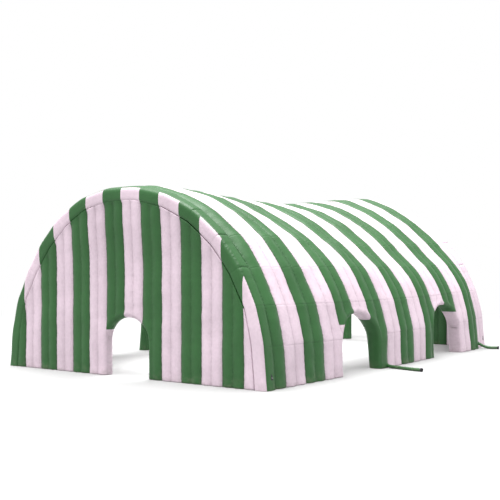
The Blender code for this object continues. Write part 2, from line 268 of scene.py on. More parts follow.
def make_floor():
    n = Nodes("floor")
    n.shader.inputs["Base Color"].default_value = (0.33, 0.33, 0.33, 1)
    n.shader.inputs["Roughness"].default_value = 0.9
    far = n.node("VectorMath", {"operation": "LENGTH"}, Vector=n.place)
    glow = n.node("Emission", Color=(1, 1, 1, 1))
    mix = n.node("MixShader", Fac=n.ramp(far.outputs["Value"], FLOOR_NEAR, FLOOR_FAR))
    n.put(n.shader.outputs["BSDF"], mix.inputs[1])
    n.put(glow.outputs["Emission"], mix.inputs[2])
    n.put(mix.outputs["Shader"], n.tree.nodes["Material Output"].inputs["Surface"])
    corners = [(x * FLOOR_HALF, y * FLOOR_HALF, 0) for x, y in ((-1, -1), (1, -1), (1, 1), (-1, 1))]
    add_mesh("floor", corners, [[0, 1, 2, 3]], n.material, smooth_shading=False)


def make_lights():
    world = bpy.data.worlds.new("studio")
    world.use_nodes = True
    sky = world.node_tree.nodes["Background"]
    sky.inputs["Color"].default_value = (1, 1, 1, 1)
    sky.inputs["Strength"].default_value = 1.0
    bpy.context.scene.world = world
    bpy.context.scene.view_settings.view_transform = "Standard"

    top = bpy.data.lights.new("overhead", "SUN")
    top.energy = 8.0
    top.angle = math.radians(60)
    add_object("overhead", top, rotation=(math.radians(4), math.radians(-6), 0))

    inside = bpy.data.lights.new("under_the_crown", "AREA")
    inside.shape = "RECTANGLE"
    inside.size, inside.size_y = 4.0, LENGTH - 4.0
    inside.energy = 2000.0
    inside.spread = math.radians(110)
    add_object("under_the_crown", inside, (0, 0, 5.4))


make_camera()
make_floor()
make_lights()


# ---------------------------------------------------------------- fabric, webbing and steel
GREEN = (0.021, 0.092, 0.023, 1.0)
WHITE = (0.560, 0.450, 0.515, 1.0)
# mud and dirt colour, also used for the painted shade along the fabric's bottom edge
DIRT_AND_SHADE = (0.190, 0.160, 0.130, 1.0)
DUST = (0.75, 0.74, 0.70, 1.0)
ZINC = (0.56, 0.57, 0.58, 1.0)
RUST = (0.20, 0.11, 0.06, 1.0)
BLACK = (0.020, 0.020, 0.023, 1.0)
STITCH_PITCH = 0.012
MUD_HEIGHT = 0.42
WEAVE_RATE = 1500.0


def coated_fabric(name, colour, other=None, blocks=None, below=None):
    """Woven cloth with a satin coating.

    With blocks, the front of an arch tube wears the gable's stripes in the other colour. With
    below, the cloth has the other colour up to that height.
    """
    n = Nodes(name)
    split = n.node("SeparateXYZ", Vector=n.place)
    x, z = split.outputs["X"], split.outputs["Z"]
    seam, joint, along = n.attribute("seam"), n.attribute("joint"), n.attribute("along")
    base = colour
    if below:
        base = n.mix(n.math("LESS_THAN", z, below), colour, other)
    if blocks:
        stripes = n.math("DIVIDE", n.math("MULTIPLY", x, blocks), STRIPE)
        index = n.math("FLOOR", n.math("ADD", stripes, STRIPE_COUNT / 2))
        index = n.math("MINIMUM", n.math("MAXIMUM", index, 0.0), STRIPE_COUNT - 1.0)
        odd = n.math("MODULO", index, 2.0)
        front = n.math("GREATER_THAN", n.attribute("girth"), 0.0)
        wanted = odd if colour is GREEN else n.math("SUBTRACT", 1.0, odd)
        base = n.mix(n.product(front, wanted), colour, other)
    # Large soft patches and fine mottling of the coating.
    cloud = n.patches(0.55, 3.0, 0.30, 0.70, 0.93, 1.06)
    mottle = n.patches(11.0, 4.0, 0.25, 0.75, 0.955, 1.045)
    # Painted shade darkens the fabric towards each seam's valley, and the seams carry two rows of
    # stitches.
    painted_seam_shade = n.product(n.ramp(seam, 0.0, 0.030, 0.93, 1.0), n.ramp(seam, 0.0, 0.150, 0.92, 1.0))
    cross = n.ramp(joint, 0.0, 0.016, 0.90, 1.0)
    row = n.math("LESS_THAN", n.math("ABSOLUTE", n.math("SUBTRACT", seam, 0.014)), 0.0022)
    dash = n.math("LESS_THAN", n.math("FRACT", n.math("DIVIDE", along, STITCH_PITCH)), 0.62)
    thread = n.math("SUBTRACT", 1.0, n.product(row, dash, 0.22))
    base = n.shaded(base, n.product(cloud, mottle, painted_seam_shade, cross, thread))
    # Mud and scuffs near the ground, painted shade along the bottom edge where the skin meets the
    # floor, and a few specks anywhere.
    mud = n.product(n.ramp(z, 0.0, MUD_HEIGHT, 1.0, 0.0), n.patches(5.0, 5.0, 0.40, 0.72, 0.0, 0.25))
    # painted shade: the lowest few centimetres darken towards the floor
    line = n.ramp(z, 0.0, 0.035, 0.55, 0.0)
    base = n.mix(n.math("MAXIMUM", mud, line), base, DIRT_AND_SHADE)
    speck = n.math("LESS_THAN", n.cells(0.9), 0.014)
    base = n.mix(n.product(speck, 0.45), base, DUST)
    n.shader.inputs["Specular IOR Level"].default_value = 0.34
    # Small folds that run away from the seams, under a fine weave.
    drift = n.product(n.noise(2.2, 2.0), 26.0)
    pull = n.math("SINE", n.math("ADD", n.product(along, 44.0), drift))
    near = n.ramp(seam, 0.0, 0.10, 1.0, 0.0)
    wrinkle = n.bump(n.product(pull, near, near), 0.40, 0.006)
    wrinkle = n.bump(n.noise(16.0, 5.0), 0.20, 0.010, wrinkle)
    warp, weft = (n.math("SINE", n.product(way, WEAVE_RATE)) for way in (along, seam))
    weave = n.bump(n.product(warp, weft), 0.10, 0.0008, wrinkle)
    return n.finish(base, n.patches(3.0, 4.0, 0.3, 0.7, 0.42, 0.56), weave)


def webbing(name, colour):
    """Ribbed polyester webbing."""
    n = Nodes(name)
    base = n.shaded(colour, n.patches(60.0, 4.0, 0.3, 0.7, 0.75, 1.35))
    base = n.mix(n.patches(9.0, 5.0, 0.52, 0.75, 0.0, 0.30), base, DIRT_AND_SHADE)
    ribs = n.node("TexWave", {"bands_direction": "Z"}, Vector=n.place, Scale=95.0, Distortion=0.4)
    low = n.bump(ribs.outputs["Fac"], 0.5, 0.0008)
    rough = n.patches(25.0, 3.0, 0.3, 0.7, 0.68, 0.90)
    return n.finish(base, rough, n.bump(n.noise(220.0, 2.0), 0.3, 0.0006, low))


def galvanised(name):
    """Zinc-plated steel with faint spangle, scratches and dull patches."""
    n = Nodes(name)
    base = n.shaded(ZINC, n.ramp(n.cells(160.0), 0.0, 0.9, 0.88, 1.08))
    base = n.mix(n.patches(45.0, 5.0, 0.60, 0.78, 0.0, 0.45), base, RUST)
    n.shader.inputs["Metallic"].default_value = 1.0
    rough = n.patches(70.0, 4.0, 0.3, 0.7, 0.26, 0.48)
    return n.finish(base, rough, n.bump(n.noise(300.0, 3.0), 0.25, 0.0004))


FABRIC = {
    "green": coated_fabric("green_coated_fabric", GREEN),
    "white": coated_fabric("white_coated_fabric", WHITE),
    "front_tube": coated_fabric("front_tube_fabric", GREEN, WHITE, 1.0),
    "rear_tube": coated_fabric("rear_tube_fabric", WHITE, GREEN, -1.0),
    "gable_lintel": coated_fabric("gable_lintel_fabric", GREEN, WHITE, below=1.60),
    "side_lintel": coated_fabric("side_lintel_fabric", GREEN, WHITE, below=1.78),
}
BLACK_WEBBING = webbing("black_webbing", BLACK)
STEEL = galvanised("galvanised_steel")


# ---------------------------------------------------------------- the arch line
def build_arch_line():
    """Distance, x, height and share of the crown along the right half of the crest line."""
    t = np.linspace(0, math.pi / 2, 6001)
    x = WIDTH / 2 * np.cos(t) ** ARCH_X_POWER
    x[-1] = 0.0
    z = ARCH_HEIGHT * np.sin(t) ** ARCH_Z_POWER
    crown = np.sin(t) ** CROWN_POWER
    far = np.concatenate([[0], np.cumsum(np.hypot(np.diff(x), np.diff(z)))])
    total = 2 * far[-1]
    # The leg stands straight on the CAD's lowest facet.
    facet = total / CAD_FACETS
    facet_x, facet_z = np.interp(facet, far, x), np.interp(facet, far, z)
    lean = (WIDTH / 2 - facet_x) / facet_z
    straight = WIDTH / 2 + (facet_x - WIDTH / 2) * z / facet_z
    stay = 1 - smooth(far, STRAIGHT_LEG, facet - STRAIGHT_LEG)
    x = x + (straight - x) * stay
    # Each panel is flatter than the arch, so neighbours meet at a kink.
    marks = total / PANELS * np.arange(PANELS // 2 + 1)
    marks_on = np.append(marks, total - marks[-1])

    def flattened(values, over_the_top=1):
        at = np.interp(marks, far, values)
        flat = np.interp(far, marks_on, np.append(at, over_the_top * at[-1]))
        return values + KINK * (flat - values)

    x, z, crown = flattened(x, -1), flattened(z), flattened(crown)
    s = np.concatenate([[0], np.cumsum(np.hypot(np.diff(x), np.diff(z)))])
    return s, x, z, crown, np.interp(marks, far, s), lean


LINE_S, LINE_X, LINE_Z, LINE_CROWN, half_knots, LEG_LEAN = build_arch_line()
HALF = LINE_S[-1]
KNOTS = np.concatenate([half_knots, 2 * HALF - half_knots[::-1]])
NORMAL_REACH = 0.05      # the kinks turn over this distance each way


def slope_of(values):
    ahead = np.interp(LINE_S + NORMAL_REACH, LINE_S, values, right=np.nan)
    if np.isnan(ahead).any():
        over = np.isnan(ahead)
        back = np.interp(2 * HALF - (LINE_S[over] + NORMAL_REACH), LINE_S, values)
        ahead[over] = -back if values is LINE_X else back
    behind = np.interp(LINE_S - NORMAL_REACH, LINE_S, values)
    return (ahead - behind) / NORMAL_REACH


LINE_DX, LINE_DZ, LINE_DCROWN = slope_of(LINE_X), slope_of(LINE_Z), slope_of(LINE_CROWN)
LEVEL_UP_TO = 2.2        # below this the skin is as thick on the level as the CAD's doorways are cut
LEVEL_FADE = 1.4


def rise_at(y):
    """How tall the arches are at y, as a share of ARCH_HEIGHT."""
    return 1 - ARCH_SAG * (1 - (2 * y / LENGTH) ** 2)


def lift_at(y):
    """How far the crown stands above the top of a plain arch there."""
    v = 2 * y / LENGTH
    middle, slope, bend, droop = CROWN_LINE
    return middle + slope * v + bend * v ** 2 + droop * v ** 4 - ARCH_HEIGHT * rise_at(y)


# Where each change starts and how far it reaches. SWELL_FOOT, SHOULDER_STARTS and SHOULDER_ENDS
# run up the wall and the others along the tunnel.
SWELL_GROWS, SWELL_ENDS = (-7.5, 3.4), (7.2, 1.4)
ROOF_CHANGES = (-6.5, 8.5)
SWELL_FOOT, FOOT_ENDS = (0.0, 1.5), (4.5, 1.5)
FULL_ENDS = (-7.0, 2.2)
SLACK_STARTS, SLACK_ENDS = (-6.0, 1.5), (-3.4, 2.4)
SHOULDER_STARTS, SHOULDER_ENDS = (3.0, 2.5), (7.4, 2.2)


def swell_at(s, y):
    """How far the right-hand wall stands out: not beside the arch tubes, nor on the roof."""
    behind_tube = smooth(y, FRONT + TUBE, 0.7)
    grown = 0.25 + 0.75 * smooth(y, *SWELL_GROWS)
    rear = smooth(y, *ROOF_CHANGES)
    roof = smooth(s, 4.5 - 1.5 * rear, 3.5 - 1.3 * rear)
    foot = 0.35 * (1 - smooth(s, *SWELL_FOOT)) * (1 - smooth(y, *FOOT_ENDS))
    full = SHOULDER_SWELL * (1 - smooth(y, *FULL_ENDS))
    slack = SHOULDER_SLACK * smooth(y, *SLACK_STARTS) * (1 - smooth(y, *SLACK_ENDS))
    shoulder = smooth(s, *SHOULDER_STARTS) * (1 - smooth(s, *SHOULDER_ENDS))
    wall = SIDE_SWELL * grown * behind_tube * (1 - smooth(y, *SWELL_ENDS)) * (1 - roof) * (1 - foot)
    return wall + shoulder * (full - slack) * behind_tube


def dent_at(s, y):
    """How far the left-hand shoulder sinks in, near the front."""
    near = 2 * HALF - s
    shoulder = smooth(near, 0.0, 4.0) * (1 - smooth(near, 6.0, 2.2))
    return SHOULDER_DENT * shoulder * (1 - smooth(y, -7.0, 5.0))


def arch(s, y, depth):
    """Points at distance s round the arch from the right foot, and that deep in the wall."""
    s, y, depth = np.broadcast_arrays(s, y, depth)
    depth = depth + dent_at(s, y)
    rise, lift = rise_at(y), lift_at(y)
    near = np.minimum(s, 2 * HALF - s)
    side = np.where(s <= HALF, 1.0, -1.0)
    dx = np.interp(near, LINE_S, LINE_DX)
    dz = np.interp(near, LINE_S, LINE_DZ) * rise + np.interp(near, LINE_S, LINE_DCROWN) * lift
    tilt = np.arctan2(-dx, dz) * smooth(near, LEVEL_UP_TO, LEVEL_FADE)
    x = np.interp(near, LINE_S, LINE_X) - depth * np.cos(tilt)
    z = np.interp(near, LINE_S, LINE_Z) * rise + np.interp(near, LINE_S, LINE_CROWN) * lift
    z = z - depth * np.sin(tilt)
    return np.stack([side * x, y, z], -1)


def ripple(a, b, size, seed):
    """Gentle waves of about unit height, the same for every skin that shares a seam."""
    rng = np.random.default_rng(seed)
    total = np.zeros(np.broadcast(a, b).shape)
    for _ in range(6):
        angle = rng.uniform(0, 2 * math.pi)
        length = size * rng.uniform(0.7, 1.5)
        phase = rng.uniform(0, 2 * math.pi)
        total += np.cos(2 * math.pi / length * (a * math.cos(angle) + b * math.sin(angle)) + phase)
    return total / math.sqrt(3)


# ---------------------------------------------------------------- doorways
def door_top(door, across):
    low, high, straight, crown = door
    middle, half = (low + high) / 2, (high - low) / 2
    share = np.clip(np.abs(across - middle) / half, 0, 1)
    return straight + (crown - straight) * np.sqrt(1 - share * share)


def door_line(door):
    """The doorway's edge as (across, height) points, up one side and down the other."""
    low, high, straight, _ = door
    middle, half = (low + high) / 2, (high - low) / 2
    across = middle + half * np.cos(np.linspace(0, math.pi, 121))
    up = [(high, h) for h in np.linspace(-0.3, straight, 25)[:-1]]
    over = list(zip(across, door_top(door, across)))
    down = [(low, h) for h in np.linspace(straight, -0.3, 25)[1:]]
    return np.array(up + over + down)


def to_line(line, a, b):
    """Distance from points to a line."""
    points = np.stack(np.broadcast_arrays(a, b), -1)
    best = np.full(points.shape[:-1], np.inf)
    for first, step in zip(line[:-1], np.diff(line, axis=0)):
        share = np.clip((points - first) @ step / (step * step).sum(), 0, 1)
        gap = first + share[..., None] * step - points
        best = np.minimum(best, np.hypot(gap[..., 0], gap[..., 1]))
    return best


def rounded(distance, radius):
    """Depth of a quarter-round edge at that distance from it."""
    reach = np.clip(radius - distance, 0, radius)
    return radius - np.sqrt(radius * radius - reach * reach)


# ---------------------------------------------------------------- inflated cells
FINE = np.array([0.0, 0.008, 0.020, 0.040, 0.070, 0.110, 0.160, 0.220])
PLAIN = np.array([0.0, 0.014, 0.040, 0.085, 0.140, 0.205])
CLOSE = np.array([0.0, 0.012, 0.035, 0.07])
EVEN = np.array([0.0])
ROW_STEP = 0.072
CLEAR_OF_FLOOR = 0.0015
RIM_STEPS = 6


def steps(length, low, high, step):
    """Distances from 0 to length: close together near the ends, then even."""
    low = low[low < 0.45 * length]
    high = high[high < 0.45 * length]
    start, stop = low[-1], length - high[-1]
    count = max(1, int(round((stop - start) / step)))
    middle = np.linspace(start, stop, count + 1)[1:-1]
    return np.concatenate([low, middle, (length - high)[::-1]])


def tube_columns(edges, close):
    """Columns across a row of tubes, with one on every seam."""
    made = []
    for low, high in zip(edges, edges[1:]):
        half = (high - low) / 2
        offsets = close[close < half - 0.02]
        made += list(low + offsets) + [low + half] + list((high - offsets)[:0:-1])
    return np.array(made + [edges[-1]])


class Cell:
    """Collects a closed skin as points (across, along, share of the way from outside to inside)."""

    def __init__(self):
        self.points, self.faces, self.made = [], [], 0

    def add(self, a, b, share):
        """Adds points and returns their numbers, in the shape of the grid that they came in."""
        where = np.stack(np.broadcast_arrays(a, b, share), -1)
        self.points.append(where.reshape(-1, 3))
        count = len(self.points[-1])
        self.made += count
        return np.arange(self.made - count, self.made).reshape(where.shape[:-1])

    def chain(self, a, b, outer, inner, padded):
        """Point numbers from the outside to the inside at one place on the edge."""
        if not padded:
            return [outer, inner]
        return [outer, *self.add(a, b, np.arange(1, RIM_STEPS) / RIM_STEPS), inner]

    def skin(self, numbers):
        low, high = numbers[:-1], numbers[1:]
        quads = np.stack([low[:, :-1], low[:, 1:], high[:, 1:], high[:, :-1]], -1).reshape(-1, 4)
        self.faces += quads.tolist()

    def strip(self, *chains):
        """Faces between neighbouring chains; where their lengths differ, one face closes both."""
        for first, second in zip(chains, chains[1:]):
            if len(first) != len(second):
                self.faces.append([*first, *second[::-1]])
                continue
            for i in range(len(first) - 1):
                self.faces.append([first[i], first[i + 1], second[i + 1], second[i]])


def build_cell(a, b, padded, legs=()):
    """A cell over the grid a, b. padded(a, b) says where its edge shows in a doorway.

    legs are (end, columns, rows): end is 0 or -1 for the first or last row of the grid, which the
    leg carries on from, over that slice of columns, to the ground at the last of rows.
    """
    cell = Cell()
    outer, inner = cell.add(a, b, 0.0), cell.add(a, b, 1.0)
    cell.skin(outer)
    cell.skin(inner)
    last = a.shape[1] - 1
    edge = {}

    def corner(j, c):
        if (j, c) not in edge:
            edge[j, c] = cell.chain(a[j, c], b[j, c], outer[j, c], inner[j, c],
                                    padded(a[j, c], b[j, c]))
        return edge[j, c]

    rows = a.shape[0]
    for c in (0, last):
        cell.strip(*[corner(j, c) for j in range(rows)])
    for end in (0, rows - 1):
        leg = next((item for item in legs if item[0] % rows == end), None)
        held = range(*leg[1].indices(last + 1)) if leg else range(0)
        free = [c for c in range(last + 1) if c not in held or c in (held[0], held[-1])]
        for c, d in zip(free, free[1:]):
            if d == c + 1 and not (c in held and d in held):
                cell.strip(corner(end, c), corner(end, d))
        if not leg:
            continue
        columns = a[end, leg[1]]
        low_a, low_b = np.meshgrid(columns, leg[2])
        leg_outer, leg_inner = cell.add(low_a, low_b, 0.0), cell.add(low_a, low_b, 1.0)
        for numbers, top in ((leg_outer, outer), (leg_inner, inner)):
            cell.skin(np.vstack([top[end, leg[1]][None], numbers]))
        ends = []
        for c in (0, len(columns) - 1):
            chains = [corner(end, held[c])]
            for j in range(len(leg[2])):
                chains.append(cell.chain(low_a[j, c], low_b[j, c], leg_outer[j, c],
                                         leg_inner[j, c], padded(low_a[j, c], low_b[j, c])))
            cell.strip(*chains)
            ends.append(chains[-1])
        floor = [[leg_outer[-1, c], leg_inner[-1, c]] for c in range(1, len(columns) - 1)]
        cell.strip(ends[0], *floor, ends[1])
    return np.concatenate(cell.points), cell.faces


def lobe(a, edges, seams):
    """0 on a tube's crest and the seam's depth at its seams, and the distance to the seam."""
    edges, seams = np.asarray(edges), np.asarray(seams)
    which = np.clip(np.searchsorted(edges, a, side="right") - 1, 0, len(edges) - 2)
    low, high = edges[which], edges[which + 1]
    share = np.clip((a - low) / (high - low), 0, 1)
    deep = seams[which] * (1 - share) + seams[which + 1] * share
    near = np.minimum(a - low, high - a)
    return deep * (2 * share - 1) ** 2, np.maximum(near, 0)


def pucker(near, along, seed):
    """Short ripples along a seam that die out towards the crest."""
    wave = np.sin(2 * math.pi * along / 0.29 + 3.0 * ripple(near * 0, along, 2.3, seed))
    return 0.0045 * wave * np.exp(-near / 0.07)


def hem(height):
    """The tucked line above the ground, and the fabric that turns under below it."""
    tuck = 0.010 * np.exp(-((height - HEM_HEIGHT) / 0.014) ** 2)
    puff = -0.006 * np.sin(math.pi * np.clip(height / HEM_HEIGHT, 0, 1))
    return tuck + puff + 0.7 * rounded(height, 0.035)


def wall_depths(a, along, height, edges, seams, doors, top=None):
    """Outer and inner depth of a wall's skins, with the fields that its material reads."""
    lobes, near = lobe(a, edges, seams)
    inner_lobes = lobes * INNER_SEAM / max(seams)
    edge, inner_edge, spread = np.zeros(a.shape), np.zeros(a.shape), np.ones(a.shape)
    way = np.zeros(a.shape + (2,))
    for door in doors:
        low, high, straight, crown = door
        far = to_line(door_line(door), a, height)
        edge = np.maximum(edge, rounded(far, JAMB_ROUND))
        inner_edge = np.maximum(inner_edge, rounded(far, JAMB_ROUND_INSIDE))
        spread = spread * smooth(far, 0.0, 0.30)
        # The padded edge bulges towards the middle of the doorway.
        middle, beside = (low + high) / 2, height < straight
        across = np.where(beside, np.sign(middle - a), (middle - a) / ((high - low) / 2) ** 2)
        down = np.where(beside, 0.0, (straight - height) / (crown - straight) ** 2)
        towards = np.stack([across, down], -1) / (np.hypot(across, down) + 1e-9)[..., None]
        close = (1 - far / EDGE_REACH)[..., None]
        way = np.where(close > 0, towards * close, way)
    if top is not None:
        far = to_line(top, a, height)
        edge = np.maximum(edge, rounded(far, TOP_ROUND))
        inner_edge = np.maximum(inner_edge, rounded(far, TOP_ROUND))
        spread = spread * smooth(far, -0.055, 0.22)
    sway = spread * (0.007 * ripple(a, along, 1.7, 5) + 0.003 * ripple(a, along, 0.7, 6))
    outer = lobes * spread + edge + sway + pucker(near, along, 11) + hem(height)
    inner = WALL - inner_lobes * spread - inner_edge + sway - hem(height) * 0.6
    return outer, inner, near, way


# ---------------------------------------------------------------- bands
ZIP_Y = FRONT + BAND + TUBE / 2
ZIP_START = 0.30
ZIP_LENGTH = 1.00
ZIP_WIDTH = 0.060
ZIP_FADE = 0.14          # the fabric is held flat behind the zip, and swells again over this far


def held_flat(across, s, height, outer):
    """Outer depth of the left-hand wall, which the zip's stiff tapes hold straight."""
    beside = 1 - smooth(np.abs(across - ZIP_Y), ZIP_WIDTH / 2, ZIP_FADE)
    above = smooth(height, ZIP_START - ZIP_FADE, ZIP_FADE)
    below = 1 - smooth(height, ZIP_START + ZIP_LENGTH, ZIP_FADE)
    share = beside * above * below * (s > HALF)
    near = 2 * HALF - s
    facet = WIDTH / 2 - LEG_LEAN / rise_at(across) * height
    flat = np.interp(near, LINE_S, LINE_X) - facet - dent_at(s, across)
    return outer + (flat - outer) * share


def joint_distance(s):
    return np.abs(np.subtract.outer(s, KNOTS[1:-1])).min(-1)


def panel_rows(start=0.0, stop=2 * HALF):
    """Rows along the arch between two kinks, close together at each kink."""
    knots = KNOTS[(KNOTS > start - 1e-6) & (KNOTS < stop + 1e-6)]
    close = np.array([0.0, 0.014, 0.034, 0.065])
    made = [knots[:1]]
    for low, high in zip(knots, knots[1:]):
        made.append(low + steps(high - low, close, close, ROW_STEP)[1:])
    return np.concatenate(made)


def height_to_s(height, y):
    """Distance along the wall at which the crest line of that y reaches a height."""
    return np.interp(height / rise_at(y), LINE_Z, LINE_S)


def jamb_columns(columns, low, high, door, jamb, kept, arc):
    """Columns with one on the jamb and more beside it.

    kept says how far out of the doorway, and how far into it, the old columns stay, and arc is
    how far round the doorway's crown the new ones go, and how many they are.
    """
    out = 1.0 if jamb == door[1] else -1.0
    away = (columns - jamb) * out
    turn = 1 - np.cos(np.linspace(0.12, *arc))
    inside = jamb - (jamb - (door[0] + door[1]) / 2) * turn
    old = columns[(away > kept[0]) | (away < -kept[1])]
    made = np.sort(np.concatenate([old, jamb + out * FINE, inside]))
    return np.concatenate([[low], made[(made > low + 0.004) & (made < high - 0.004)], [high]])


def leg_rows(top):
    """Rows down a leg beside a doorway, from just under its top to the ground."""
    return steps(top, CLOSE, EVEN, ROW_STEP)[:-1][::-1]


def band_grid(low, high, edges):
    """(a, b, legs) of a band: which rows it has depends on the doorway that cuts its ends."""
    cut = [d for d in SIDE_DOORS if d[0] < high - 0.01 and d[1] > low + 0.01]
    beside = [d for d in SIDE_DOORS if min(abs(d[0] - high), abs(d[1] - low)) < 0.01]
    columns = tube_columns(edges, FINE if cut or beside else PLAIN)
    if not cut:
        return *np.meshgrid(columns, panel_rows()), ()
    door, legs, jamb = cut[0], (), None
    if low < door[0] - 0.005 or high > door[1] + 0.005:
        jamb = door[1] if door[1] < high - 0.01 else door[0]
        columns = jamb_columns(columns, low, high, door, jamb, (0.30, 0.42), (0.9, 9))
    free_from = KNOTS[2]
    in_door = (columns > door[0] - 1e-6) & (columns < door[1] + 1e-6)
    base = height_to_s(np.where(in_door, door_top(door, columns), door[2]), columns)
    share = steps(1.0, FINE / 0.9, EVEN, ROW_STEP)
    low_rows = base[None, :] + share[:, None] * (free_from - base[None, :])
    middle = panel_rows(free_from, 2 * HALF - free_from)[1:-1]
    b = np.vstack([low_rows, np.repeat(middle[:, None], len(columns), 1),
                   (2 * HALF - low_rows)[::-1]])
    a = np.repeat(columns[None, :], len(b), 0)
    if jamb is not None:
        at = int(np.argmin(np.abs(columns - jamb)))
        held = slice(at, len(columns)) if jamb == door[1] else slice(0, at + 1)
        rows = leg_rows(base[at])
        legs = ((0, held, rows), (-1, held, 2 * HALF - rows))
    return a, b, legs


def make_skin(name, points, faces, place, depths, material):
    """Turns a cell's points into a mesh, with the fields that the fabric reads."""
    a, b, share = points.T
    outer, inner, near, way, joint = depths(a, b)
    depth = outer * (1 - share) + inner * share
    bulge = JAMB_BULGE * 4 * share * (1 - share)
    where = place(a, b, depth, way * bulge[:, None])
    where[:, 2] = np.maximum(where[:, 2], CLEAR_OF_FLOOR)
    fields = {"seam": near, "joint": joint, "along": b}
    return add_mesh(name, where, faces, material, fields=fields)


def near_door(doors):
    """A test for points on a doorway's edge."""
    lines = [(d, door_line(d)) for d in doors]

    def padded(a, height):
        for door, line in lines:
            beside = a < door[0] - EDGE_REACH or a > door[1] + EDGE_REACH
            if beside or height > door[3] + EDGE_REACH:
                continue
            if to_line(line, a, height) < EDGE_REACH:
                return True
        return False
    return padded


def band_height(across, s):
    return np.interp(np.minimum(s, 2 * HALF - s), LINE_S, LINE_Z) * rise_at(across)


def place_band(across, s, depth, push):
    where = arch(s, across, depth)
    where[:, 1:] += push
    return where


def make_band(k):
    low = FRONT + (k - 1) * BAND
    edges = [low, low + TUBE, low + BAND]
    seams = [COLOUR_SEAM, MIDDLE_SEAM, COLOUR_SEAM]
    if k == 1:
        edges, seams = edges[1:], [COLOUR_SEAM, COLOUR_SEAM]
    if k == BAND_COUNT:
        edges, seams = edges[:2], [COLOUR_SEAM, COLOUR_SEAM]
    low, high = edges[0] + GAP / 2, edges[-1] - GAP / 2
    edges = [low, *edges[1:-1], high]
    a, b, legs = band_grid(low, high, edges)
    doors = [d for d in SIDE_DOORS if d[0] < high + 0.1 and d[1] > low - 0.1]

    def depths(across, s):
        tall = band_height(across, s)
        outer, inner, near, way = wall_depths(across, s, tall, edges, seams, doors)
        joint = joint_distance(s)
        tuck = 0.009 * np.exp(-(joint / 0.016) ** 2) * smooth(tall, 0.0, 1.2)
        outer = outer - swell_at(s, across) + tuck
        return held_flat(across, s, tall, outer), inner - 0.5 * tuck, near, way, joint

    edge = near_door(doors)
    points, faces = build_cell(a, b, lambda across, s: edge(across, band_height(across, s)), legs)
    material = FABRIC["side_lintel" if k in SIDE_LINTELS else "green" if k % 2 else "white"]
    item = make_skin(f"band_{k:02d}_skin", points, faces, place_band, depths, material)
    finish_cell(item, k % 2, f"band_{k:02d}")


# ---------------------------------------------------------------- gables
def lean_at(across, height):
    """How far the top of a gable, and the face of the tube round it, lean out."""
    return CROWN_LEAN * smooth(height, 3.7, 2.3) * (1 - 0.6 * smooth(across, 0.0, 3.5))


def arch_underside(turn):
    """(across, height) of the arch tube's inner face at the gable."""
    s = np.linspace(0, 2 * HALF, 601)
    where = arch(s, turn * (FRONT + 0.25), ARCH_TUBE_DEPTH - 0.003)
    return np.stack([where[:, 0], where[:, 2]], -1)


ENDS = {"front": 1.0, "rear": -1.0}
UNDERSIDE = {end: arch_underside(turn) for end, turn in ENDS.items()}


def stripe_grid(k, low, high, edges, underside):
    """(a, b, legs) of a gable stripe."""
    if k in (1, STRIPE_COUNT):
        # A wedge between its seam and the arch tube, laid out in level rows.
        seam, side = (high, -1.0) if k == 1 else (low, 1.0)
        right = underside[underside[:, 0] > 0]
        apex = float(np.interp(-abs(seam) - 0.012, -right[:, 0], right[:, 1]))
        rows = steps(apex, CLOSE, np.array([0.0, 0.02]), ROW_STEP)
        outline = np.interp(rows, right[:, 1], right[:, 0])
        share = np.array([0, 0.03, 0.09, 0.18, 0.30, 0.44, 0.58, 0.70, 0.80, 0.88, 0.94, 0.98, 1.0])
        a = seam + side * share[None, :] * (outline[:, None] - abs(seam))
        return a[:, ::int(side)], np.repeat(rows[:, None], len(share), 1), ()
    columns = tube_columns(edges, FINE if k in BY_GABLE_DOOR else PLAIN)
    door, legs = GABLE_DOOR, ()
    jamb = door[1]
    base = np.zeros(len(columns))
    over_door = low < jamb - 0.01 and high > door[0] + 0.01
    has_leg = over_door and high > jamb + 0.01
    if has_leg:
        columns = jamb_columns(columns, low, high, door, jamb, (0.25, 0.33), (0.78, 8))
    if over_door:
        base = np.where(columns < jamb - 1e-6, door_top(door, columns), door[2])
    tall = np.interp(columns, underside[::-1, 0], underside[::-1, 1])
    length = float(np.mean(tall - base))
    low_steps = FINE if over_door else np.append(CLOSE, 0.13)
    share = steps(length, low_steps, FINE[:6], ROW_STEP) / length
    b = base[None, :] + share[:, None] * (tall - base)[None, :]
    if has_leg:
        at = int(np.argmin(np.abs(columns - jamb)))
        legs = ((0, slice(at, len(columns)), leg_rows(door[2])),)
    return np.repeat(columns[None, :], len(b), 0), b, legs


PANEL_SEAM_HEIGHT = 3.45


def make_stripe(end, k):
    low = (k - 1 - STRIPE_COUNT / 2) * STRIPE + GAP / 2
    high = low + STRIPE - GAP
    edges = [low, (low + high) / 2, high]
    seams = [GABLE_COLOUR_SEAM, GABLE_MIDDLE_SEAM, GABLE_COLOUR_SEAM]
    a, b, legs = stripe_grid(k, low, high, edges, UNDERSIDE[end])
    doors = [GABLE_DOOR] if k in BY_GABLE_DOOR else []

    def depths(across, height):
        outer, inner, near, way = wall_depths(across, height, height, edges, seams, doors,
                                              UNDERSIDE[end])
        joint = np.abs(height - PANEL_SEAM_HEIGHT)
        tuck = 0.004 * np.exp(-(joint / 0.035) ** 2)
        return outer + tuck, inner - tuck, near, way, joint

    def place(across, height, depth, push):
        swell = GABLE_SWELL + lean_at(across, height)
        back = np.where(depth < WALL / 2, depth - swell, depth)
        where = np.stack([across + push[:, 0], FRONT + back, height + push[:, 1]], -1)
        where[:, :2] *= ENDS[end]
        return where

    points, faces = build_cell(a, b, near_door(doors), legs)
    material = FABRIC["gable_lintel" if k == GABLE_LINTEL else "green" if k % 2 else "white"]
    node = f"{end}_gable_{k:02d}"
    item = make_skin(f"{node}_skin", points, faces, place, depths, material)
    finish_cell(item, k % 2, node)


